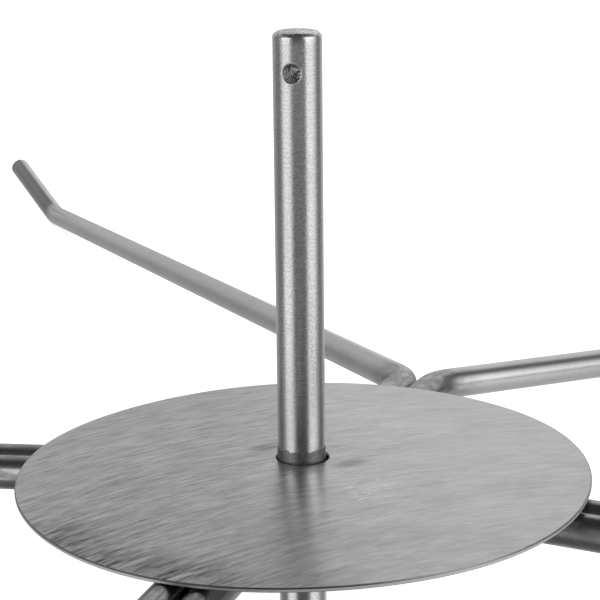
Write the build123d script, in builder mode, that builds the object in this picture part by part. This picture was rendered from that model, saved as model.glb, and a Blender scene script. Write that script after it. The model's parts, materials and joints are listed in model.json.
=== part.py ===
from build123d import *
from math import atan, cos, radians, sin, tan
import os

# A low welded stand for hams. An upright post stands at the middle of four bent leg rods.
# Each rod hugs the post with a V bend, runs out beside its neighbour, flares into a tine,
# and turns up at the tip. A loose domed plate drops over the post and lies on the rods.
# Millimetres, +Z up, +X right and +Y back. The origin is on the post's axis, on the floor.

# Driving dimensions
POST_DIAMETER = 12.7
POST_ABOVE_PLATE = 114.3
POST_CHAMFER = 1.2

# The locking hole is a blind drilled hole in the side of the post
LOCK_HOLE_DIAMETER = 4.7625  # 3/16 inch drill
LOCK_HOLE_DEPTH = 6.5  # at full diameter, from the post's side
LOCK_HOLE_BELOW_TOP = 10.0
LOCK_HOLE_HEADING = 255.5  # degrees from +X, so it faces the front, turned a little left
LOCK_HOLE_EDGE_BREAK = 0.2  # round the mouth, where the burr was taken off
DRILL_POINT_ANGLE = 118.0

ROD_DIAMETER = 9.525
ROD_GAP = 0.1  # between two rods lying side by side, and between a rod and the post
HUB_HEIGHT = 56.0  # of the rods' axes over the floor, where they meet the post
RUN_SLOPE = 3.75  # degrees down from the post to the bends where two rods part
FLARE_DISTANCE = 107.0  # from the post to the bends where two rods part
FLARE_BEND_RADIUS = 20.0
FOOT_BEND_RADIUS = 24.0
TIP_LENGTH = 58.0
TIP_LIFT = 22.0  # degrees that a tip turns up from its tine
TIP_TOE_IN = 6.0  # degrees that a tip turns towards the middle of its rod
ROD_END_CHAMFER = 0.8

# Two rods lie side by side on each of four runs out from the post. The rods are set by
# hand, so the runs' headings, in degrees from +X, aren't quite square to each other.
BACK_RUN = 69.0
LEFT_RUN = 163.0
FRONT_RUN = 248.0
RIGHT_RUN = 342.0

# Each rod spans two runs, and its tines flare inwards from them by an angle
LEG_RODS = {
    "leg_rod_back_left": (BACK_RUN, LEFT_RUN, 42.0),
    "leg_rod_front_left": (LEFT_RUN, FRONT_RUN, 42.0),
    "leg_rod_front_right": (FRONT_RUN, RIGHT_RUN, 42.0),
    "leg_rod_back_right": (RIGHT_RUN - 360.0, BACK_RUN, 34.0),
}

PLATE_DIAMETER = 154.0
PLATE_THICKNESS = 1.2
PLATE_RISE = 4.8  # height of the hole's edge over the rim
PLATE_HOLE_DIAMETER = 14.0
PLATE_EDGE_BREAK = 0.2
PLATE_REST_GAP = 0.05  # between the plate's rim and the rods it lies on

WELD_BITE = 0.3  # depth of the melted neck in the post
WELD_ABOVE_PLATE = 4.0
WELD_SLEEVE = 0.3  # how far the weld's top stands proud of the post
WELD_THROAT = 3.6  # width of the fillet between the post and the rods
WELD_BELOW_RODS = 3.0
BEAD_LENGTH = 24.0
BEAD_RADIUS = 1.9
BEAD_DROP = 2.9  # from the rods' axes down to the middle of the bead
BEAD_GAP = 0.05  # between a bead and the rods in whose valley it lies

# Worked out from the above
post_radius = POST_DIAMETER / 2
rod_radius = ROD_DIAMETER / 2
run_offset = rod_radius + ROD_GAP / 2
hug_distance = post_radius + ROD_GAP + rod_radius
run_drop = tan(radians(RUN_SLOPE))
tip_lift = radians(TIP_LIFT)

# The plate's rim lies on the eight runs, whose axes are a little below the hub's height
# because each rod tilts and runs beside its pair's middle line
pair_height = HUB_HEIGHT - run_offset * run_drop
plate_radius = PLATE_DIAMETER / 2
rod_half_height = rod_radius / cos(radians(RUN_SLOPE))
plate_rim_bottom = pair_height - plate_radius * run_drop + rod_half_height + PLATE_REST_GAP
plate_top = plate_rim_bottom + PLATE_THICKNESS + PLATE_RISE
post_top = plate_top + POST_ABOVE_PLATE
weld_top = plate_top + WELD_ABOVE_PLATE
weld_bottom = HUB_HEIGHT - rod_radius - WELD_BELOW_RODS


def heading(angle):
    """Level unit vector at an angle in radians from +X."""
    return Vector(cos(angle), sin(angle), 0)


def foot_corner_height(tine_slope):
    """Height of the corner between tine and tip, so that the bend there touches the floor."""
    bend_above_corner = tan(tip_lift / 2) * sin(tine_slope) - (1 - cos(tine_slope))
    return rod_radius - FOOT_BEND_RADIUS * bend_above_corner


def leg_rod_corners(start_run, end_run, flare):
    """Corner points of a rod's centre line, from tip to tip.

    The rod is bent flat and tilts down along its middle line, so a level point drops by its
    distance along that line. The tilt gives both of its runs the run slope.
    """
    middle = radians(start_run + end_run) / 2
    half = radians(end_run - start_run) / 2
    middle_line = heading(middle)
    tilt_drop = run_drop / cos(half)

    def lower(point):
        return point + Vector(0, 0, HUB_HEIGHT - tilt_drop * point.dot(middle_line))

    def outer_corners(run, inward):
        """Flare bend, foot and tip on one side; inward is +1 or -1, towards the middle."""
        flare_point = FLARE_DISTANCE * heading(run) + run_offset * heading(run + inward * radians(90))
        tine = run + inward * radians(flare)
        tine_drop = tilt_drop * cos(tine - middle)
        tine_slope = atan(tine_drop)
        flare_corner = lower(flare_point)
        tine_length = (flare_corner.Z - foot_corner_height(tine_slope)) / tine_drop
        foot = lower(flare_point + tine_length * heading(tine))
        tip_rise = tip_lift - tine_slope
        tip_heading = tine + inward * radians(TIP_TOE_IN)
        tip_direction = cos(tip_rise) * heading(tip_heading) + Vector(0, 0, sin(tip_rise))
        return [flare_corner, foot, foot + TIP_LENGTH * tip_direction]

    hub_corner = lower(run_offset / sin(half) * middle_line)
    first_side = outer_corners(radians(start_run), 1)
    second_side = outer_corners(radians(end_run), -1)
    return [*reversed(first_side), hub_corner, *second_side]


def hug_radius(half):
    """Bend radius that carries a rod round the post with ROD_GAP to spare."""
    return (hug_distance * sin(half) - run_offset) / (1 - sin(half))


os.makedirs("parts", exist_ok=True)

# Leg rods
leg_rods = []
for name, (start_run, end_run, flare) in LEG_RODS.items():
    hub_bend = hug_radius(radians(end_run - start_run) / 2)
    bends = [FOOT_BEND_RADIUS, FLARE_BEND_RADIUS, hub_bend, FLARE_BEND_RADIUS, FOOT_BEND_RADIUS]
    with BuildPart() as leg_rod:
        with BuildLine() as centre_line:
            FilletPolyline(leg_rod_corners(start_run, end_run, flare), radius=bends)
        with BuildSketch(centre_line.line ^ 0):
            Circle(rod_radius)
        sweep()
        chamfer(leg_rod.faces().filter_by(GeomType.PLANE).edges(), ROD_END_CHAMFER)
    leg_rod.part.label = name
    export_step(leg_rod.part, f"parts/{name}.step")
    leg_rods.append(leg_rod.part)

# Post, with the neck that the hub weld melts into it and the blind locking hole
neck_radius = post_radius - WELD_BITE
hole_outward = heading(radians(LOCK_HOLE_HEADING))
hole_mouth = post_radius * hole_outward + Vector(0, 0, post_top - LOCK_HOLE_BELOW_TOP)
drill_plane = Plane(
    origin=hole_mouth,
    x_dir=-hole_outward,
    z_dir=-hole_outward.cross(Vector(0, 0, 1)),
)
drill_radius = LOCK_HOLE_DIAMETER / 2
drill_point = drill_radius / tan(radians(DRILL_POINT_ANGLE / 2))
with BuildPart() as post:
    with BuildSketch(Plane.XZ):
        with BuildLine():
            Polyline(
                (0, 0),
                (post_radius, 0),
                (post_radius, weld_bottom),
                (neck_radius, weld_bottom),
                (neck_radius, weld_top),
                (post_radius, weld_top),
                (post_radius, post_top),
                (0, post_top),
                close=True,
            )
        make_face()
    revolve(axis=Axis.Z)
    end_faces = post.faces().filter_by(GeomType.PLANE).sort_by(Axis.Z)
    chamfer(end_faces[0].edges() + end_faces[-1].edges(), POST_CHAMFER)
    with BuildSketch(drill_plane):
        with BuildLine():
            Polyline(
                (0, 0),
                (0, drill_radius),
                (LOCK_HOLE_DEPTH, drill_radius),
                (LOCK_HOLE_DEPTH + drill_point, 0),
                close=True,
            )
        make_face()
    revolve(axis=Axis(hole_mouth, -hole_outward), mode=Mode.SUBTRACT)
    mouth_edge = post.edges(Select.LAST).sort_by(lambda edge: edge.center().dot(hole_outward))[-1]
    chamfer(mouth_edge, LOCK_HOLE_EDGE_BREAK)
post.part.label = "post"
export_step(post.part, "parts/post.step")

# Cover plate: a round sheet pressed into a shallow dome, with a loose hole for the post
hole_radius = PLATE_HOLE_DIAMETER / 2
dome_width = plate_radius - hole_radius
dome_radius = (dome_width**2 + PLATE_RISE**2) / (2 * PLATE_RISE)
with BuildPart() as cover_plate:
    with BuildSketch(Plane.XZ):
        with BuildLine():
            hole_top = (hole_radius, plate_top)
            hole_bottom = (hole_radius, plate_top - PLATE_THICKNESS)
            rim_bottom = (plate_radius, plate_rim_bottom)
            rim_top = (plate_radius, plate_rim_bottom + PLATE_THICKNESS)
            RadiusArc(hole_top, rim_top, dome_radius)
            Line(rim_top, rim_bottom)
            RadiusArc(hole_bottom, rim_bottom, dome_radius)
            Line(hole_bottom, hole_top)
        make_face()
    revolve(axis=Axis.Z)
    chamfer(cover_plate.edges().filter_by(GeomType.CIRCLE), PLATE_EDGE_BREAK)
cover_plate.part.label = "cover_plate"
export_step(cover_plate.part, "parts/cover_plate.step")

# Hub weld: one bead round the post. It fills the pockets between the post and the four V
# bends, and its top runs up through the plate's hole as a thin sleeve.
sleeve_radius = post_radius + WELD_SLEEVE
throat_radius = post_radius + WELD_THROAT
with BuildPart() as hub_weld:
    with BuildSketch(Plane.XZ):
        with BuildLine():
            Polyline(
                (neck_radius, weld_bottom),
                (post_radius, weld_bottom),
                (throat_radius, HUB_HEIGHT - rod_radius / 2),
                (throat_radius, HUB_HEIGHT + rod_radius / 2),
                (sleeve_radius, plate_top - PLATE_THICKNESS - 1),
                (sleeve_radius, plate_top + 1),
                (post_radius, weld_top),
                (neck_radius, weld_top),
                close=True,
            )
        make_face()
    revolve(axis=Axis.Z)
    for leg_rod_part in leg_rods:
        add(leg_rod_part, mode=Mode.SUBTRACT)
hub_weld.part.label = "hub_weld"
export_step(hub_weld.part, "parts/hub_weld.step")

# Pair welds: a bead in the valley under each pair of side-by-side runs, near the flare bends
bead_groove_radius = rod_radius + BEAD_GAP
bead_start = FLARE_DISTANCE - FLARE_BEND_RADIUS - BEAD_LENGTH
with BuildPart() as pair_welds:
    for run in (BACK_RUN, LEFT_RUN, FRONT_RUN, RIGHT_RUN):
        outward = heading(radians(run)) - Vector(0, 0, run_drop)
        start_point = bead_start * outward + Vector(0, 0, pair_height)
        across = heading(radians(run + 90))
        with BuildSketch(Plane(origin=start_point, x_dir=across, z_dir=outward)):
            with Locations((0, -BEAD_DROP)):
                Circle(BEAD_RADIUS)
            with Locations((-run_offset, 0), (run_offset, 0)):
                Circle(bead_groove_radius, mode=Mode.SUBTRACT)
        extrude(amount=BEAD_LENGTH)
pair_welds.part.label = "pair_welds"
export_step(pair_welds.part, "parts/pair_welds.step")
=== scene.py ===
"""The looks of a low welded steel stand for hams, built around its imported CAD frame.

The round bars, the domed plate and the welds are rebuilt as finer meshes in the places
that the frame gives, and carry brushed and drawn steel materials. Lengths are in metres.
"""

import json
from math import atan2, copysign, cos, hypot, pi, radians, sin, tan

import bpy
from mathutils import Matrix, Vector, noise


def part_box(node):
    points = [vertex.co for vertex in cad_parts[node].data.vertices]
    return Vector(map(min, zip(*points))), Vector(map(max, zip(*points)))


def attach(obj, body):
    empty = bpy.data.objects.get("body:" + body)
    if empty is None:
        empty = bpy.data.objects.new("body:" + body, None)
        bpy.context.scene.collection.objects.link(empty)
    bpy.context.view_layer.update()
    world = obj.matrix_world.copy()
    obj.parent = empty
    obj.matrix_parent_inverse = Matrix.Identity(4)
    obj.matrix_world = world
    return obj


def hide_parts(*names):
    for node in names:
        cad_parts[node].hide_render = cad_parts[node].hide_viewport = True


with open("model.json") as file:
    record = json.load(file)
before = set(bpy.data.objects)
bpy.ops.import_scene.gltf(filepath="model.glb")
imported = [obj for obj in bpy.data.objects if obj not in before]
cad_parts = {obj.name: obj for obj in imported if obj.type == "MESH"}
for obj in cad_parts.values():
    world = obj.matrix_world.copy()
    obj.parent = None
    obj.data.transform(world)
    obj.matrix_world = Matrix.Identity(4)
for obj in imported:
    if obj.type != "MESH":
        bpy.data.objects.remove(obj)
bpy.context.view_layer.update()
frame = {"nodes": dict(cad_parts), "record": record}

MM = 0.001
STAND = "stand"
PLATE = "plate"

# Sizes that the frame's boxes don't give
ROD_RADIUS = 4.7625 * MM
ROD_CHAMFER = 0.8 * MM  # of the CAD rods' ends
ROD_EDGE_BREAK = 0.35 * MM
POST_CHAMFER = 1.2 * MM
PLATE_THICKNESS = 1.2 * MM
PLATE_HOLE_RADIUS = 7.0 * MM
PLATE_EDGE_BREAK = 0.3 * MM
HOLE_EDGE_BREAK = 0.32 * MM
BACK_RUN = radians(69)  # heading of the back pair of rods, from +X
RUN_SLOPE = radians(3.75)  # of the pairs of rods, down from the post

# Where the frame puts things
post_low, post_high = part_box("post")
plate_low, plate_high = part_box("cover_plate")
hub_low, hub_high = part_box("hub_weld")
post_radius = post_high.x
plate_radius = plate_high.x


# ---------------------------------------------------------------- meshes


def skin(name, rings, closed=False):
    """A closed mesh over rings of points. The rings are joined in order; where closed is
    true the last joins the first, and otherwise the first and last are capped by fans."""
    count = len(rings[0])
    points = [point for ring in rings for point in ring]
    faces = []
    spans = len(rings) if closed else len(rings) - 1
    for i in range(spans):
        here, there = i * count, (i + 1) % len(rings) * count
        for j in range(count):
            k = (j + 1) % count
            faces.append((here + j, here + k, there + k, there + j))
    if not closed:
        for start, turn in ((0, -1), (len(points) - count, 1)):
            ring = points[start:start + count]
            middle = len(points)
            points.append(sum(ring, Vector()) / count)
            for j in range(count):
                k = (j + turn) % count
                faces.append((start + j, start + k, middle))
    mesh = bpy.data.meshes.new(name)
    mesh.from_pydata(points, [], faces)
    mesh.validate()
    piece = bpy.data.objects.new(name, mesh)
    bpy.context.scene.collection.objects.link(piece)
    smooth(mesh)
    return piece


def smooth(mesh):
    """Smooth shading, with edges of more than 30 degrees kept sharp."""
    mesh.shade_smooth()
    mesh.set_sharp_from_angle(angle=radians(30))


def store(piece, name, kind, values):
    """Keeps one value per point on the mesh, for its material to read."""
    field = "vector" if kind == "FLOAT_VECTOR" else "value"
    attribute = piece.data.attributes.new(name, kind, "POINT")
    flat = [part for value in values for part in value] if field == "vector" else values
    attribute.data.foreach_set(field, flat)


def circle(count):
    """Angles of count points once round."""
    return [2 * pi * step / count for step in range(count)]


# ---------------------------------------------------------------- round bars

BAR_SIDES = 64
STRAIGHT_STEP = 8 * MM
BEND_STEPS = 4
LONG_SPAN = 8 * MM  # centre points further apart than this lie on a straight
CELL = 0.1 * MM  # of the grid on which a ring's points fall together
CELL_HITS = 60  # at least this many points make a full ring
RING_GAP = 1.2 * MM  # centres of different rings lie further apart


def centre_points(node):
    """Points on a round rod's centre line, from tip to tip, read from its CAD mesh.

    A point on the rod's side, less its normal times the radius, lies on the centre line, so
    the points of each ring of the mesh fall together there.
    """
    mesh = frame["nodes"][node].data
    cells = {}
    for loop, normal in zip(mesh.loops, mesh.corner_normals):
        point = mesh.vertices[loop.vertex_index].co - ROD_RADIUS * normal.vector
        cells.setdefault(tuple(round(part / CELL) for part in point), []).append(point)
    full = sorted((hits for hits in cells.values() if len(hits) >= CELL_HITS), key=len, reverse=True)
    centres = []
    for hits in full:
        centre = sum(hits, Vector()) / len(hits)
        if all((centre - other).length > RING_GAP for other in centres):
            centres.append(centre)
    middle = sum(centres, Vector())

    def place_in_chain(centre):
        """Distance from the post, negative on one side of the rod's middle line."""
        return copysign(hypot(centre.x, centre.y), middle.x * centre.y - middle.y * centre.x)

    return sorted(centres, key=place_in_chain)


def smooth_path(points):
    """(point, direction, bend) along a chain: straights split in equal steps, and bends as
    curves through the points. Bend is 1 on a bend and 0 on a straight."""
    spans = [after - before for before, after in zip(points, points[1:])]
    directions = []
    for i in range(len(points)):
        beside = spans[max(i - 1, 0):i + 1]
        longest = max(beside, key=lambda span: span.length)
        if longest.length > LONG_SPAN:
            directions.append(longest.normalized())
        else:
            directions.append(sum((span.normalized() for span in beside), Vector()).normalized())
    path = []
    for i, span in enumerate(spans):
        straight = span.length > LONG_SPAN
        steps = max(1, round(span.length / STRAIGHT_STEP)) if straight else BEND_STEPS
        for step in range(steps):
            t = step / steps
            pull_out = t * (1 - t) ** 2 * span.length * directions[i]
            pull_in = t * t * (1 - t) * span.length * directions[i + 1]
            point = points[i] + t * t * (3 - 2 * t) * span + pull_out - pull_in
            if straight:
                point = points[i] + t * span
            direction = directions[i].lerp(directions[i + 1], t).normalized()
            path.append((point, direction, 0.0 if straight else 1.0))
    path.append((points[-1], directions[-1], 0.0))
    return path


def bar(name, path, radii):
    """A round bar along a path, with the bar's own coordinates stored for its material."""
    side = path[0][1].orthogonal().normalized()
    rings, places, axes, bends = [], [], [], []
    along = 0.0
    before = path[0][0]
    for (point, direction, bend), radius in zip(path, radii):
        side = (side - side.dot(direction) * direction).normalized()
        other = direction.cross(side)
        along += (point - before).length
        before = point
        rings.append([point + radius * (cos(a) * side + sin(a) * other) for a in circle(BAR_SIDES)])
        places += [Vector((radius * cos(a), radius * sin(a), along)) for a in circle(BAR_SIDES)]
        axes += [direction] * BAR_SIDES
        bends += [bend] * BAR_SIDES
    piece = skin(name, rings)
    places += [Vector((0, 0, 0)), Vector((0, 0, along))]
    axes += [path[0][1], path[-1][1]]
    bends += [0.0, 0.0]
    store(piece, "place", "FLOAT_VECTOR", places)
    store(piece, "axis", "FLOAT_VECTOR", axes)
    store(piece, "bend", "FLOAT", bends)
    return piece


def leg_rod(node):
    """A leg rod over its CAD node, with sawn ends whose edges are broken."""
    path = smooth_path(centre_points(node))
    (first, first_way, _), (last, last_way, _) = path[0], path[-1]
    for reach in (ROD_CHAMFER - ROD_EDGE_BREAK, ROD_CHAMFER):
        path.insert(0, (first - reach * first_way, first_way, 0.0))
        path.append((last + reach * last_way, last_way, 0.0))
    radii = [ROD_RADIUS] * len(path)
    radii[0] = radii[-1] = ROD_RADIUS - ROD_EDGE_BREAK
    piece = bar(node + "_bar", path, radii)
    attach(piece, STAND)
    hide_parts(node)
    return piece


# ---------------------------------------------------------------- post

HOLE_ZONE = 6 * MM  # either side of the locking hole, where the post's rings lie close
FINE_STEP = 0.5 * MM
COARSE_STEP = 4 * MM
# Outline of a chamfer with its corners worn round, as parts of it: (along the post, inwards)
WORN_CHAMFER = ((0.0, 0.0), (0.3, 0.1), (0.6, 0.38), (0.82, 0.68), (1.0, 1.0))
DRILL_POINT_ANGLE = radians(118)
CUTTER_SIDES = 96
WALL_STEP = 0.1 * MM
WALL_RIDGE = 0.06 * MM
WALL_RIDGE_PITCH = 0.9 * MM
MOUTH_TURNS = (15, 35, 55, 75, 90)  # degrees round the rounded mouth, from the post's side inwards
MOUTH_RUN_OUT = 1.0 * MM  # how far the cutter goes on past the mouth
FACE_RINGS = 30  # of the face that the drill's point leaves
FACE_GROOVE = 0.15 * MM
FACE_GROOVES = 3


def lock_hole():
    """(middle, outward direction, radius, length) of the hole's full round part, from the
    record's mount."""
    mount = next(m for m in frame["record"]["mounts"] if m["name"] == "lock_hole")
    dims = mount["dims"]
    return Vector(mount["pos_m"]), Vector(mount["axis"]), dims["r_mm"] * MM, dims["length_mm"] * MM


def hole_cutter():
    """What the drill takes out of the post, with a rounded mouth, ridges on the wall and
    grooves round the drill point's face."""
    middle, outward, radius, length = lock_hole()
    bottom = middle - outward * length / 2
    up = Vector((0, 0, 1))
    side = up.cross(outward)

    def surface(across):
        """Height of the post's side over the hole's bottom, across from the hole's middle."""
        return (post_radius ** 2 - across ** 2) ** 0.5 - bottom.dot(outward)

    def ring(ring_radius, height, on_side=False):
        """Points round the drill. The height is over the hole's bottom or, where on_side is
        true, over the post's side."""
        points = []
        for angle in circle(CUTTER_SIDES):
            across = ring_radius * sin(angle)
            level = surface(across) + height if on_side else height
            points.append(bottom + level * outward + across * side + ring_radius * cos(angle) * up)
        return points

    def mouth_ring(turn, run_out=0.0):
        """A ring of the rounded mouth, or one further out along the same slope."""
        depth = HOLE_EDGE_BREAK * (1 - cos(turn)) - run_out * tan(turn)
        wider = HOLE_EDGE_BREAK * (1 - sin(turn)) + run_out
        return ring(radius + wider, -depth, on_side=True)

    turns = [radians(turn) for turn in MOUTH_TURNS]
    lid = ring(radius + HOLE_EDGE_BREAK + MOUTH_RUN_OUT, surface(0) + MOUTH_RUN_OUT)
    rings = [lid, mouth_ring(turns[0], MOUTH_RUN_OUT), *(mouth_ring(turn) for turn in turns)]
    mouth_points = CUTTER_SIDES * (len(rings) - 1)  # its last ring starts the wall
    steps = round(length / WALL_STEP)
    for step in range(steps, 0, -1):
        height = length * step / steps
        ridge = WALL_RIDGE * abs(sin(pi * height / WALL_RIDGE_PITCH))
        rings.append(ring(radius + ridge, height - WALL_STEP / 2))
    point_depth = radius / tan(DRILL_POINT_ANGLE / 2)
    for step in range(FACE_RINGS):
        inward = step / FACE_RINGS
        groove = FACE_GROOVE * (1 - cos(2 * pi * FACE_GROOVES * inward)) / 2
        rings.append(ring(radius * (1 - inward), -point_depth * inward - groove))
    piece = skin("cutter", rings)
    points = [vertex.co for vertex in piece.data.vertices]
    places = [Vector((point.dot(side), point.z, point.dot(outward))) for point in points]
    store(piece, "place", "FLOAT_VECTOR", places)
    store(piece, "mouth", "FLOAT", [float(index < mouth_points) for index in range(len(points))])
    return piece


def post(side_look, hole_look):
    """The upright bar with worn chamfers, and the blind locking hole drilled into it. The
    hole keeps a look of its own."""
    hole_height = lock_hole()[0].z
    low, high = post_low.z + POST_CHAMFER, post_high.z - POST_CHAMFER
    heights = [low]
    while heights[-1] < high:
        near = abs(heights[-1] - hole_height) < HOLE_ZONE
        heights.append(min(heights[-1] + (FINE_STEP if near else COARSE_STEP), high))
    worn = [(POST_CHAMFER * rise, post_radius - POST_CHAMFER * inset) for rise, inset in WORN_CHAMFER]
    rings = [(low - rise, radius) for rise, radius in reversed(worn)]
    rings += [(height, post_radius) for height in heights[1:]]
    rings += [(high + rise, radius) for rise, radius in worn[1:]]
    up = Vector((0, 0, 1))
    path = [(Vector((0, 0, height)), up, 0.0) for height, _ in rings]
    piece = bar("post_bar", path, [radius for _, radius in rings])
    piece.data.materials.append(side_look)
    cutter = hole_cutter()
    cutter.data.materials.append(hole_look)
    cut = piece.modifiers.new("cut", "BOOLEAN")
    cut.operation = "DIFFERENCE"
    cut.solver = "EXACT"
    cut.material_mode = "TRANSFER"
    cut.object = cutter
    bpy.context.view_layer.update()
    finished = piece.evaluated_get(bpy.context.evaluated_depsgraph_get())
    piece.data = bpy.data.meshes.new_from_object(finished)
    piece.modifiers.clear()
    bpy.data.objects.remove(cutter)
    smooth(piece.data)
    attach(piece, STAND)
    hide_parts("post")
    return piece


# ---------------------------------------------------------------- cover plate

PLATE_SPOKES = 288
PLATE_STEPS = 40
PLATE_SHIFT = Vector((0.28 * MM, -0.3 * MM, 0))  # the loose plate sits a little off the post's axis
RIM_RAISED = 0.64 * MM
# Waves round the rim of the hand-bent sheet: (how many, height, heading of a crest in degrees)
RIM_WAVES = ((1, 0.97 * MM, -8), (2, 0.25 * MM, 10), (3, 0.2 * MM, 47), (4, 0.28 * MM, 5))


def rim_lift(angle):
    """How far the sheet's rim is sprung up from level, at an angle from +X."""
    waves = (height * cos(count * (angle - radians(crest))) for count, height, crest in RIM_WAVES)
    return RIM_RAISED + sum(waves)


def plate_section(angle):
    """Loop of points round the sheet's thickness, at an angle from +X."""
    width = plate_radius - PLATE_HOLE_RADIUS
    rise = plate_high.z - plate_low.z - PLATE_THICKNESS
    dome_radius = (width ** 2 + rise ** 2) / (2 * rise)

    def height(radius):
        """Of the sheet's underside."""
        out = radius - PLATE_HOLE_RADIUS
        dome = rise - (dome_radius - (dome_radius ** 2 - out ** 2) ** 0.5)
        return plate_low.z + dome + rim_lift(angle) * (out / width) ** 2

    inner, outer = PLATE_HOLE_RADIUS, plate_radius
    flat_start, flat_width = inner + PLATE_EDGE_BREAK, width - 2 * PLATE_EDGE_BREAK
    flats = [flat_start + flat_width * step / PLATE_STEPS for step in range(PLATE_STEPS + 1)]
    top = [(radius, height(radius) + PLATE_THICKNESS) for radius in flats]
    bottom = [(radius, height(radius)) for radius in reversed(flats)]
    edge_top, edge_low = PLATE_THICKNESS - PLATE_EDGE_BREAK, PLATE_EDGE_BREAK
    rim = [(outer, height(outer) + edge_top), (outer, height(outer) + edge_low)]
    hole = [(inner, height(inner) + edge_low), (inner, height(inner) + edge_top)]
    return [
        PLATE_SHIFT + Vector((radius * cos(angle), radius * sin(angle), z))
        for radius, z in [*top, *rim, *bottom, *hole]
    ]


def cover_plate():
    """The loose domed sheet."""
    sections = [plate_section(angle) for angle in circle(PLATE_SPOKES)]
    piece = skin("cover_plate_sheet", sections, closed=True)
    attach(piece, PLATE)
    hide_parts("cover_plate")
    return piece


# ---------------------------------------------------------------- welds

WELD_SPOKES = 240
WELD_BITE = 0.3 * MM  # depth of the bead's root in the post
WELD_SLEEVE = 0.18 * MM  # how far the bead's top stands proud of the post
WELD_MIDDLE = 7.8 * MM  # height of the bead's widest part over its foot
RIPPLE_COUNT = 46
RIPPLE_HEIGHT = 0.22 * MM
BAND_WOBBLE = (0.7 * MM, 3.1)  # (height, waves per turn) of the top edge's slow unevenness
BAND_RAGS = (0.2 * MM, 9.0)  # the same, of its quick unevenness
BAND_DROP = 0.4 * MM  # of the top edge's mean height, under the CAD weld's top


def weld_section(angle):
    """Loop of points round the hub weld's bead, at an angle from +X."""
    around = Vector((cos(angle), sin(angle), 0))
    wobble = noise.noise(BAND_WOBBLE[1] * around)
    rags = noise.noise(BAND_RAGS[1] * around + Vector((5, 0, 0)))
    ripple = RIPPLE_HEIGHT * abs(sin(RIPPLE_COUNT * angle / 2 + 2 * wobble))
    inner = post_radius - WELD_BITE
    outer = (hub_high - hub_low).x / 2
    under_plate = plate_high.z - PLATE_THICKNESS - 1 * MM
    middle = hub_low.z + WELD_MIDDLE
    band_top = hub_high.z + BAND_WOBBLE[0] * wobble + BAND_RAGS[0] * rags - BAND_DROP
    sleeve = post_radius + WELD_SLEEVE
    profile = [
        (inner, hub_low.z),
        (post_radius + ripple, hub_low.z + 0.2 * MM),
        (post_radius + 1.6 * MM + ripple, middle - 4.4 * MM),
        (outer - 0.7 * MM + ripple, middle - 2.6 * MM),
        (outer, middle),
        (outer - 0.7 * MM + ripple, middle + 2.4 * MM),
        (post_radius + 1.7 * MM + ripple, middle + 3.8 * MM),
        (sleeve + ripple / 3, under_plate),
        (sleeve, plate_high.z + 1.2 * MM),
        (sleeve - 0.08 * MM, plate_high.z + 2.1 * MM),
        (post_radius + 0.09 * MM, band_top - 0.5 * MM),
        (inner, band_top),
    ]
    return [radius * around + Vector((0, 0, z)) for radius, z in profile]


def hub_weld():
    """The bead between post and rods, whose ragged top edge shows above the plate."""
    sections = [weld_section(angle) for angle in circle(WELD_SPOKES)]
    piece = skin("hub_weld_bead", sections, closed=True)
    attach(piece, STAND)
    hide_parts("hub_weld")
    return piece


BEAD_RINGS = 72
BEAD_RADIUS = 1.9 * MM
BEAD_DEPTH = 2.375 * MM  # of a bead's axis, under the top of its CAD weld
BEAD_RIPPLES = 15
BEAD_RIPPLE = 0.07  # height of a ripple, as a part of the bead's radius
BEAD_WANDER = (0.03, 9)  # (part of the radius, waves along the bead) of its slow unevenness
BEAD_TIP = 0.15  # part of the radius that is left at a bead's ends


def pair_beads():
    """The four beads in the valleys under the pairs of rods, one piece each."""
    mesh = frame["nodes"]["pair_welds"].data
    groups = {}
    for vertex in mesh.vertices:
        quadrant = round((atan2(vertex.co.y, vertex.co.x) - BACK_RUN) / (pi / 2)) % 4
        groups.setdefault(quadrant, []).append(vertex.co)
    pieces = []
    names = ("back", "left", "front", "right")
    for quadrant, points in sorted(groups.items()):
        middle = sum(points, Vector()) / len(points)
        outward = Vector((middle.x, middle.y, 0)).normalized()
        start = min(points, key=lambda point: point.dot(outward))
        end = max(points, key=lambda point: point.dot(outward))
        outward = Vector((outward.x, outward.y, -tan(RUN_SLOPE)))
        length = (end - start).dot(outward) / outward.length_squared
        first = outward * start.dot(outward) / outward.length_squared
        first.z = max(point.z for point in points) - BEAD_DEPTH
        path, radii = [], []
        for step in range(BEAD_RINGS + 1):
            t = step / BEAD_RINGS
            round_end = (1 - (2 * t - 1) ** 8) ** 0.5
            wander = BEAD_WANDER[0] * noise.noise(Vector((BEAD_WANDER[1] * t, quadrant, 0)))
            ripple = 1 + BEAD_RIPPLE * abs(sin(BEAD_RIPPLES * pi * t)) + wander
            path.append((first + t * length * outward, outward.normalized(), 0.0))
            radii.append(BEAD_RADIUS * max(BEAD_TIP, round_end) * ripple)
        piece = bar("pair_weld_" + names[quadrant], path, radii)
        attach(piece, STAND)
        pieces.append(piece)
    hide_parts("pair_welds")
    return pieces


# ---------------------------------------------------------------- shader building


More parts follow.
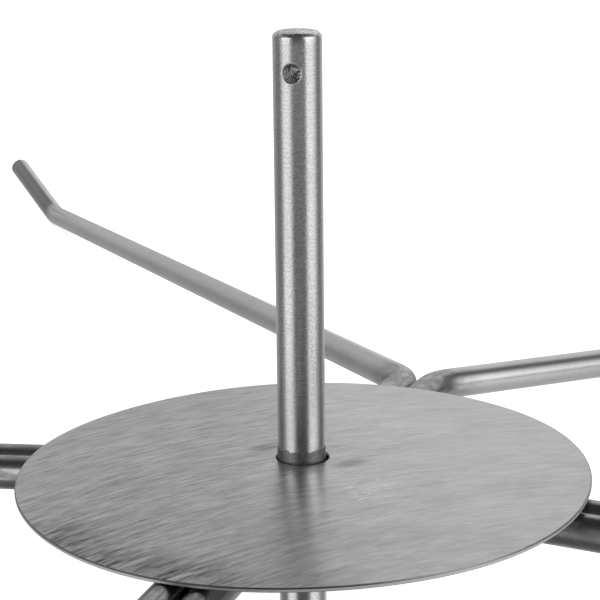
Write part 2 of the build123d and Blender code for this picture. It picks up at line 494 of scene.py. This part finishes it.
class Shader:
    """A material or world's node tree, with short ways to add nodes to it."""

    def __init__(self, owner):
        owner.use_nodes = True
        self.tree = owner.node_tree
        self.tree.nodes.clear()

    def add(self, kind, inputs=None, **settings):
        """A node; inputs maps its sockets to values or to other nodes' output sockets."""
        made = self.tree.nodes.new("ShaderNode" + kind)
        for name, value in settings.items():
            setattr(made, name, value)
        for key, value in (inputs or {}).items():
            if isinstance(value, bpy.types.NodeSocket):
                self.tree.links.new(value, made.inputs[key])
            else:
                made.inputs[key].default_value = value
        return made

    def math(self, operation, *values, clamp=False):
        """The result of a Math node."""
        node = self.add("Math", dict(enumerate(values)), operation=operation, use_clamp=clamp)
        return node.outputs[0]

    def vector(self, operation, *values, result=0):
        """A result of a Vector Math node."""
        return self.add("VectorMath", dict(enumerate(values)), operation=operation).outputs[result]

    def stretched(self, source, scale):
        """A vector scaled apart along its three axes, in cycles per millimetre."""
        per_metre = tuple(part / MM for part in scale)
        return self.vector("MULTIPLY", source, per_metre)

    def noise(self, source, scale, detail=3.0, roughness=0.55, distortion=0.0):
        """Noise from 0 to 1 over a vector, in cycles per millimetre on its three axes."""
        inputs = {
            "Vector": self.stretched(source, scale),
            "Scale": 1.0,
            "Detail": detail,
            "Roughness": roughness,
            "Distortion": distortion,
        }
        return self.add("TexNoise", inputs).outputs[0]

    def spread(self, value, low, high, to_low=0.0, to_high=1.0, smooth=True):
        """A value mapped from one range to another, and held at its ends."""
        kind = "SMOOTHSTEP" if smooth else "LINEAR"
        inputs = {0: value, 1: low, 2: high, 3: to_low, 4: to_high}
        return self.add("MapRange", inputs, interpolation_type=kind, clamp=True).outputs[0]

    def window(self, value, rise_start, rise_end, fall_start, fall_end):
        """1 inside a range of a value and 0 outside it, with soft edges."""
        rise = self.spread(value, rise_start, rise_end)
        fall = self.spread(value, fall_start, fall_end, 1.0, 0.0)
        return self.math("MULTIPLY", rise, fall)

    def blend(self, amount, low, high):
        """From low to high by an amount from 0 to 1."""
        return self.math("MULTIPLY_ADD", amount, self.math("SUBTRACT", high, low), low)

    def grey(self, value):
        """A grey colour from a number."""
        return self.add("CombineColor", {0: value, 1: value, 2: value}).outputs[0]

    def attribute(self, name, output):
        """An output of what store() kept on the mesh under a name."""
        return self.add("Attribute", attribute_name=name).outputs[output]

    def bump(self, height, distance, strength=1.0, normal=None):
        """A normal from a height between 0 and 1, over a normal made before."""
        inputs = {"Height": height, "Distance": distance, "Strength": strength}
        if normal is not None:
            inputs["Normal"] = normal
        return self.add("Bump", inputs).outputs[0]

    def surface(self, closure):
        """Puts a shader on the material's output."""
        self.tree.links.new(closure, self.add("OutputMaterial").inputs["Surface"])


def steel(shader, tone, roughness, anisotropic, across, normal):
    """Bare stainless steel whose scratches lie at right angles to the direction across."""
    inputs = {
        "Base Color": shader.grey(tone),
        "Metallic": 1.0,
        "Roughness": roughness,
        "Anisotropic": anisotropic,
        "Tangent": across,
        "Normal": normal,
    }
    shader.surface(shader.add("BsdfPrincipled", inputs).outputs[0])


# ---------------------------------------------------------------- materials


# The sheet's grain runs along arcs round this point, level with the stand's origin
GRAIN_CENTRE = Vector((0.256, -0.575, 0))

# Marks on the sheet, in millimetres: (x, y, half width across the grain, half length along it)
DARK_MARKS = ((-10.0, 7.0, 4.0, 7.0), (12.5, -6.0, 4.0, 8.0))
HANDLED = (17, -24, 14, 15)

# Where the dark streaks along the rim are: distances from the post, and headings from +X
STREAKS_OUT = (61 * MM, 76 * MM)
STREAKS_TURN = (radians(-158), radians(-145), radians(-112), radians(-92))


def grain_oval(shader, grain, x, y, half_width, half_length):
    """1 at a point of the sheet, fading to 0 over a slim oval along the grain. Lengths are
    in millimetres."""
    spoke = MM * Vector((x, y, 0)) - GRAIN_CENTRE
    middle = (spoke.length, atan2(spoke.x, spoke.y) * GRAIN_CENTRE.length, 0)
    offset = shader.vector("SUBTRACT", grain, middle)
    scaled = shader.vector("DIVIDE", offset, (half_width * MM, half_length * MM, 1))
    return shader.spread(shader.vector("LENGTH", scaled, result=1), 1.0, 0.0)


def sheet_material():
    """Sheet with a long-grain brushed finish, handled and scuffed. Its sheared edges are paler and
    duller than its faces, and its edge breaks are darkened with painted shade, most on the lower one."""
    material = bpy.data.materials.new("brushed_sheet")
    shader = Shader(material)
    coordinates = shader.add("TexCoord").outputs
    place = coordinates["Object"]
    spoke = shader.vector("MULTIPLY", shader.vector("SUBTRACT", place, GRAIN_CENTRE), (1, 1, 0))
    spoke_x, spoke_y, _ = shader.add("SeparateXYZ", {0: spoke}).outputs
    across = shader.vector("LENGTH", spoke, result=1)
    along = shader.math("MULTIPLY", shader.math("ARCTAN2", spoke_x, spoke_y), GRAIN_CENTRE.length)
    grain = shader.add("CombineXYZ", {0: across, 1: along}).outputs[0]

    fine = shader.noise(grain, (3.4, 0.25, 0), detail=4, roughness=0.6)
    medium = shader.noise(grain, (0.75, 0.085, 0), detail=5, roughness=0.7, distortion=0.4)
    broad = shader.noise(grain, (0.15, 0.02, 0), detail=2)
    cloud = shader.noise(place, (0.03, 0.03, 0), detail=2)
    place_x, place_y, _ = shader.add("SeparateXYZ", {0: place}).outputs
    lines = shader.blend(0.65, fine, medium)
    contrast = shader.spread(place_x, -50 * MM, 50 * MM, 2.0, 0.9)
    tone = shader.math("MULTIPLY_ADD", shader.math("SUBTRACT", lines, 0.5), contrast, 0.57)
    tone = shader.math("ADD", tone, shader.spread(broad, 0.3, 0.7, -0.03, 0.03, smooth=False))
    tone = shader.math("ADD", tone, shader.spread(cloud, 0.3, 0.7, -0.02, 0.02))

    # Short bright scratches, thickest at the front right of the hole
    handled = grain_oval(shader, grain, *HANDLED)
    scratch = shader.noise(grain, (1.5, 0.3, 0), detail=2)
    scratch = shader.math("MULTIPLY_ADD", handled, 0.2, scratch)
    tone = shader.math("ADD", tone, shader.spread(scratch, 0.69, 0.76, 0.0, 0.16))

    # Two dark marks beside the hole
    for mark in DARK_MARKS:
        tone = shader.math("MULTIPLY_ADD", grain_oval(shader, grain, *mark), -0.24, tone)

    # Dark streaks along the rim at the front left
    out = shader.vector("LENGTH", shader.vector("MULTIPLY", place, (1, 1, 0)), result=1)
    turn = shader.math("ARCTAN2", place_y, place_x)
    near_rim = shader.spread(out, *STREAKS_OUT)
    at_front_left = shader.window(turn, *STREAKS_TURN)
    streaks = shader.spread(shader.noise(grain, (0.6, 0.08, 0), detail=5, roughness=0.7), 0.36, 0.66)
    scuffed = shader.math("MULTIPLY", shader.math("MULTIPLY", near_rim, at_front_left), streaks)
    tone = shader.math("MULTIPLY_ADD", scuffed, -0.46, tone)

    roughness = shader.spread(lines, 0.3, 0.7, 0.26, 0.36, smooth=False)
    facing_up = shader.add("SeparateXYZ", {0: coordinates["Normal"]}).outputs[2]
    upright = shader.math("ABSOLUTE", facing_up)
    corner = shader.window(upright, 0.4, 0.5, 0.85, 0.95)
    edge = shader.spread(upright, 0.5, 0.4)
    # Painted shade: the edge breaks are darkened, the ones facing down almost to black
    tone = shader.blend(corner, tone, shader.spread(facing_up, -0.2, 0.2, 0.05, 0.32))
    tone = shader.blend(edge, tone, 0.78)
    roughness = shader.blend(edge, roughness, 0.5)
    normal = shader.bump(fine, 0.01 * MM, 0.6)
    normal = shader.bump(medium, 0.06 * MM, 0.5, normal)
    steel(shader, tone, roughness, 0.75, shader.vector("NORMALIZE", spoke), normal)
    return material


PLATE_SHADE_AND_DULL_REACH = (106 * MM, 122 * MM)  # from the post, to where the rods' painted shade from the plate, and their extra roughness, fade out


def bar_material(name, tones, roughnesses, anisotropic, speckle_depth):
    """Round bar, with fine scratches round it as a grinding belt leaves them, and rougher near
    the hub, where painted shade darkens it in place of the plate's shade. tones and roughnesses are
    (low, high)."""
    material = bpy.data.materials.new(name)
    shader = Shader(material)
    place = shader.attribute("place", "Vector")
    axis = shader.attribute("axis", "Vector")
    bend = shader.attribute("bend", "Fac")
    scratches = shader.noise(place, (0.35, 0.35, 4.0), detail=4)
    speckle = shader.noise(place, (1.6, 1.6, 2.0), detail=3, roughness=0.65)
    mottle = shader.noise(place, (0.4, 0.4, 0.15), detail=5, roughness=0.65)
    broad = shader.noise(place, (0.12, 0.12, 0.03), detail=2)
    tone = shader.spread(shader.blend(0.6, scratches, speckle), 0.3, 0.7, *tones, smooth=False)
    tone = shader.math("ADD", tone, shader.spread(broad, 0.3, 0.7, -0.02, 0.02))
    tone = shader.math("MULTIPLY_ADD", bend, -0.04, tone)
    roughness = shader.spread(mottle, 0.3, 0.75, *roughnesses)

    # Sawn ends and chamfers are coarser
    facing = shader.vector("DOT_PRODUCT", shader.add("NewGeometry").outputs["Normal"], axis, result=1)
    cut_face = shader.spread(shader.math("ABSOLUTE", facing), 0.3, 0.7)
    coarse = shader.spread(speckle, 0.35, 0.65, -0.25, 0.25)
    tone = shader.math("MULTIPLY_ADD", cut_face, coarse, tone)
    roughness = shader.math("MULTIPLY_ADD", cut_face, 0.12, roughness)

    object_place = shader.add("TexCoord").outputs["Object"]
    out = shader.vector("LENGTH", shader.vector("MULTIPLY", object_place, (1, 1, 0)), result=1)
    # Painted shade: the rods are darkened near the hub, in and past the plate's shade, and made
    # rougher there
    plate_shade_and_dullness = shader.window(out, 20 * MM, 30 * MM, *PLATE_SHADE_AND_DULL_REACH)
    plate_shade_and_dullness = shader.math("MULTIPLY", plate_shade_and_dullness, shader.spread(mottle, 0.35, 0.6, 0.5, 1.0))
    tone = shader.math("MULTIPLY", tone, shader.math("MULTIPLY_ADD", plate_shade_and_dullness, -0.45, 1.0))
    roughness = shader.math("MULTIPLY_ADD", plate_shade_and_dullness, 0.14, roughness)

    normal = shader.bump(scratches, 0.008 * MM, 0.5)
    normal = shader.bump(speckle, speckle_depth, 0.5, normal)
    steel(shader, tone, roughness, anisotropic, axis, normal)
    return material


def hole_material():
    """Bright wall and face of a drilled hole, with a duller rounded mouth."""
    material = bpy.data.materials.new("drilled_hole")
    shader = Shader(material)
    place = shader.attribute("place", "Vector")
    mouth = shader.attribute("mouth", "Fac")
    chatter = shader.noise(place, (0.5, 0.5, 0.5), detail=2)
    scuffs = shader.noise(place, (2.0, 2.0, 2.0), detail=3)
    tone = shader.spread(chatter, 0.35, 0.65, 0.42, 1.0)
    tone = shader.blend(mouth, tone, 1.0)
    roughness = shader.spread(scuffs, 0.3, 0.7, 0.08, 0.16, smooth=False)
    roughness = shader.blend(mouth, roughness, 0.35)
    normal = shader.bump(scuffs, 0.006 * MM, 0.5)
    steel(shader, tone, roughness, 0.0, (0, 0, 1), normal)
    return material


def weld_material():
    """Dull weld metal, wire brushed."""
    material = bpy.data.materials.new("dull_weld")
    shader = Shader(material)
    place = shader.add("TexCoord").outputs["Object"]
    mottle = shader.noise(place, (0.9, 0.9, 0.9), detail=5, roughness=0.65)
    grain = shader.noise(place, (3.0, 3.0, 3.0), detail=3)
    tone = shader.spread(mottle, 0.25, 0.75, 0.18, 0.32)
    tone = shader.math("ADD", tone, shader.spread(grain, 0.3, 0.7, -0.06, 0.06))
    roughness = shader.spread(grain, 0.3, 0.7, 0.36, 0.55)
    normal = shader.bump(mottle, 0.12 * MM, 0.6)
    normal = shader.bump(grain, 0.03 * MM, 0.5, normal)
    steel(shader, tone, roughness, 0.0, (0, 0, 1), normal)
    return material


# ---------------------------------------------------------------- the pieces

sheet = sheet_material()
ground_bar = bar_material("ground_bar", (0.46, 0.80), (0.17, 0.26), 0.4, 0.08 * MM)
drawn_bar = bar_material("drawn_bar", (0.47, 0.57), (0.16, 0.24), 0.3, 0.015 * MM)
drilled_hole = hole_material()
weld = weld_material()


def finish_with(piece, material):
    """Gives a piece one material."""
    piece.data.materials.clear()
    piece.data.materials.append(material)


post(ground_bar, drilled_hole)
finish_with(cover_plate(), sheet)
for corner in ("back_left", "back_right", "front_left", "front_right"):
    finish_with(leg_rod("leg_rod_" + corner), drawn_bar)
finish_with(hub_weld(), weld)
for bead in pair_beads():
    finish_with(bead, weld)


# ---------------------------------------------------------------- studio

# How bright the things are that the steel mirrors
SIDE_LEVEL = 0.23
LOW_RIGHT_LEVEL = 0.65
FRONT_LEVEL = 0.10
TABLE_LEVEL = 0.34
BACK_LEFT_LEVEL = 0.58
BACK_RIGHT_LEVEL = 0.80
BACK_FADE = (0.8, 1.1)  # parts of the back's brightness, below and above
OVERHEAD_LEVEL = 0.05
BOX_LOW_LEVEL = 1.15
LEFT_BOX_HIGH_LEVEL = 1.6
RIGHT_BOX_HIGH_LEVEL = 2.0
RIGHT_BOX_FOOT_PART = 0.45  # of the right box's brightness, that is left at its foot

# Where those things are. A turn is an azimuth in degrees, 0 towards the front and 90 to the
# right. A height is the sine of the elevation. Two numbers are where one thing gives way to
# the next, and four are where a thing starts to show, shows full, starts to fade and is gone.
FRONT_TURN = (-36, -20, 20, 36)
TABLE_HEIGHT = (-0.28, -0.19, -0.08, 0.08)
LOW_RIGHT_TURN = (10, 40)
LOW_RIGHT_HEIGHT = (-0.38, -0.6)
BACK_LEFT_TURN = (-108, -152)
BACK_RIGHT_TURN = (116, 150)
BACK_HEIGHT = (-0.2, 0.25)
OVERHEAD_HEIGHT = (0.6, 0.9)
BOX_HEIGHT = (0.04, 0.22)  # from the boxes' lower brightness to their higher
LEFT_BOX_TURN = (-92, -66, -46, -22)
LEFT_BOX_HEIGHT = (-0.62, -0.44, 0.5, 0.65)
RIGHT_BOX_TURN = (30, 46, 66, 106)
RIGHT_BOX_FOOT = (-0.62, -0.44)
RIGHT_BOX_TOP = (0.85, 0.6)


def studio_world():
    """Two tall soft boxes at the front left and right, a dim table in front, pale walls
    behind and a dark ceiling. The camera sees a plain white backdrop instead."""
    world = bpy.data.worlds.new("studio")
    bpy.context.scene.world = world
    shader = Shader(world)
    x, y, up = shader.add("SeparateXYZ", {0: shader.add("TexCoord").outputs["Generated"]}).outputs
    turn = shader.math("ARCTAN2", x, shader.math("MULTIPLY", y, -1.0))
    azimuth = shader.math("MULTIPLY", turn, 180 / pi)

    front = shader.blend(shader.window(up, *TABLE_HEIGHT), FRONT_LEVEL, TABLE_LEVEL)
    low_right = shader.math(
        "MULTIPLY", shader.spread(up, *LOW_RIGHT_HEIGHT), shader.spread(azimuth, *LOW_RIGHT_TURN)
    )
    side = shader.blend(low_right, SIDE_LEVEL, LOW_RIGHT_LEVEL)
    level = shader.blend(shader.window(azimuth, *FRONT_TURN), side, front)
    back = shader.spread(up, *BACK_HEIGHT, *BACK_FADE)
    back_left = shader.math("MULTIPLY", back, BACK_LEFT_LEVEL)
    back_right = shader.math("MULTIPLY", back, BACK_RIGHT_LEVEL)
    level = shader.blend(shader.spread(azimuth, *BACK_LEFT_TURN), level, back_left)
    level = shader.blend(shader.spread(azimuth, *BACK_RIGHT_TURN), level, back_right)
    level = shader.blend(shader.spread(up, *OVERHEAD_HEIGHT), level, OVERHEAD_LEVEL)

    high = shader.spread(up, *BOX_HEIGHT)
    left_box = shader.window(azimuth, *LEFT_BOX_TURN)
    left_box = shader.math("MULTIPLY", left_box, shader.window(up, *LEFT_BOX_HEIGHT))
    level = shader.blend(left_box, level, shader.blend(high, BOX_LOW_LEVEL, LEFT_BOX_HIGH_LEVEL))
    right_box = shader.window(azimuth, *RIGHT_BOX_TURN)
    right_box = shader.math("MULTIPLY", right_box, shader.spread(up, *RIGHT_BOX_TOP))
    foot = shader.spread(up, *RIGHT_BOX_FOOT, RIGHT_BOX_FOOT_PART, 1.0)
    right_box = shader.math("MULTIPLY", right_box, foot)
    light = shader.blend(right_box, level, shader.blend(high, BOX_LOW_LEVEL, RIGHT_BOX_HIGH_LEVEL))
    seen = shader.add("LightPath").outputs["Is Camera Ray"]
    background = shader.add("Background", {0: shader.grey(shader.blend(seen, light, 1.0)), 1: 1.0})
    shader.tree.links.new(background.outputs[0], shader.add("OutputWorld").inputs["Surface"])


FLOOR_HALF = 12.0
FLOOR_DROP = 0.05 * MM  # below the feet, so that the two don't share a plane
FLOOR_GLOW = 0.8
FLOOR_PAINT = 0.42


def floor():
    """A plain pale light table, which the steel doesn't mirror."""
    half = FLOOR_HALF
    corners = [(-half, -half, 0), (half, -half, 0), (half, half, 0), (-half, half, 0)]
    mesh = bpy.data.meshes.new("floor")
    mesh.from_pydata(corners, [], [(0, 1, 2, 3)])
    plane = bpy.data.objects.new("floor", mesh)
    bpy.context.scene.collection.objects.link(plane)
    plane.location.z = -FLOOR_DROP
    plane.visible_glossy = False
    material = bpy.data.materials.new("pale_floor")
    shader = Shader(material)
    glow = shader.add("Emission", {"Strength": FLOOR_GLOW}).outputs[0]
    paint = shader.add("BsdfDiffuse", {"Color": shader.grey(FLOOR_PAINT)}).outputs[0]
    shader.surface(shader.add("AddShader", {0: glow, 1: paint}).outputs[0])
    finish_with(plane, material)


LIGHT_HEIGHT = 2.5
LIGHT_SIDE = 5.0
LIGHT_POWER = 110


def floor_light():
    """A wide light overhead that lights the floor softly and that the steel doesn't mirror."""
    data = bpy.data.lights.new("overhead", "AREA")
    data.size = LIGHT_SIDE
    data.energy = LIGHT_POWER
    light = bpy.data.objects.new("overhead", data)
    bpy.context.scene.collection.objects.link(light)
    light.location.z = LIGHT_HEIGHT
    light.visible_glossy = False


CAMERA_PLACE = (0, -0.4915, 0.2433)
CAMERA_LENS = 116.6
LOOK_DOWN = radians(15.71)
ROLL = radians(-0.62)


def camera():
    """At the front, looking down a little, with a slight roll."""
    data = bpy.data.cameras.new("camera")
    data.sensor_width = 36
    data.lens = CAMERA_LENS
    data.clip_start = 0.01
    data.clip_end = 60
    seer = bpy.data.objects.new("camera", data)
    bpy.context.scene.collection.objects.link(seer)
    turn = Matrix.Rotation(pi / 2 - LOOK_DOWN, 4, "X") @ Matrix.Rotation(ROLL, 4, "Z")
    seer.matrix_world = Matrix.Translation(CAMERA_PLACE) @ turn
    bpy.context.scene.camera = seer


studio_world()
floor()
floor_light()
camera()
bpy.context.scene.view_settings.view_transform = "Standard"
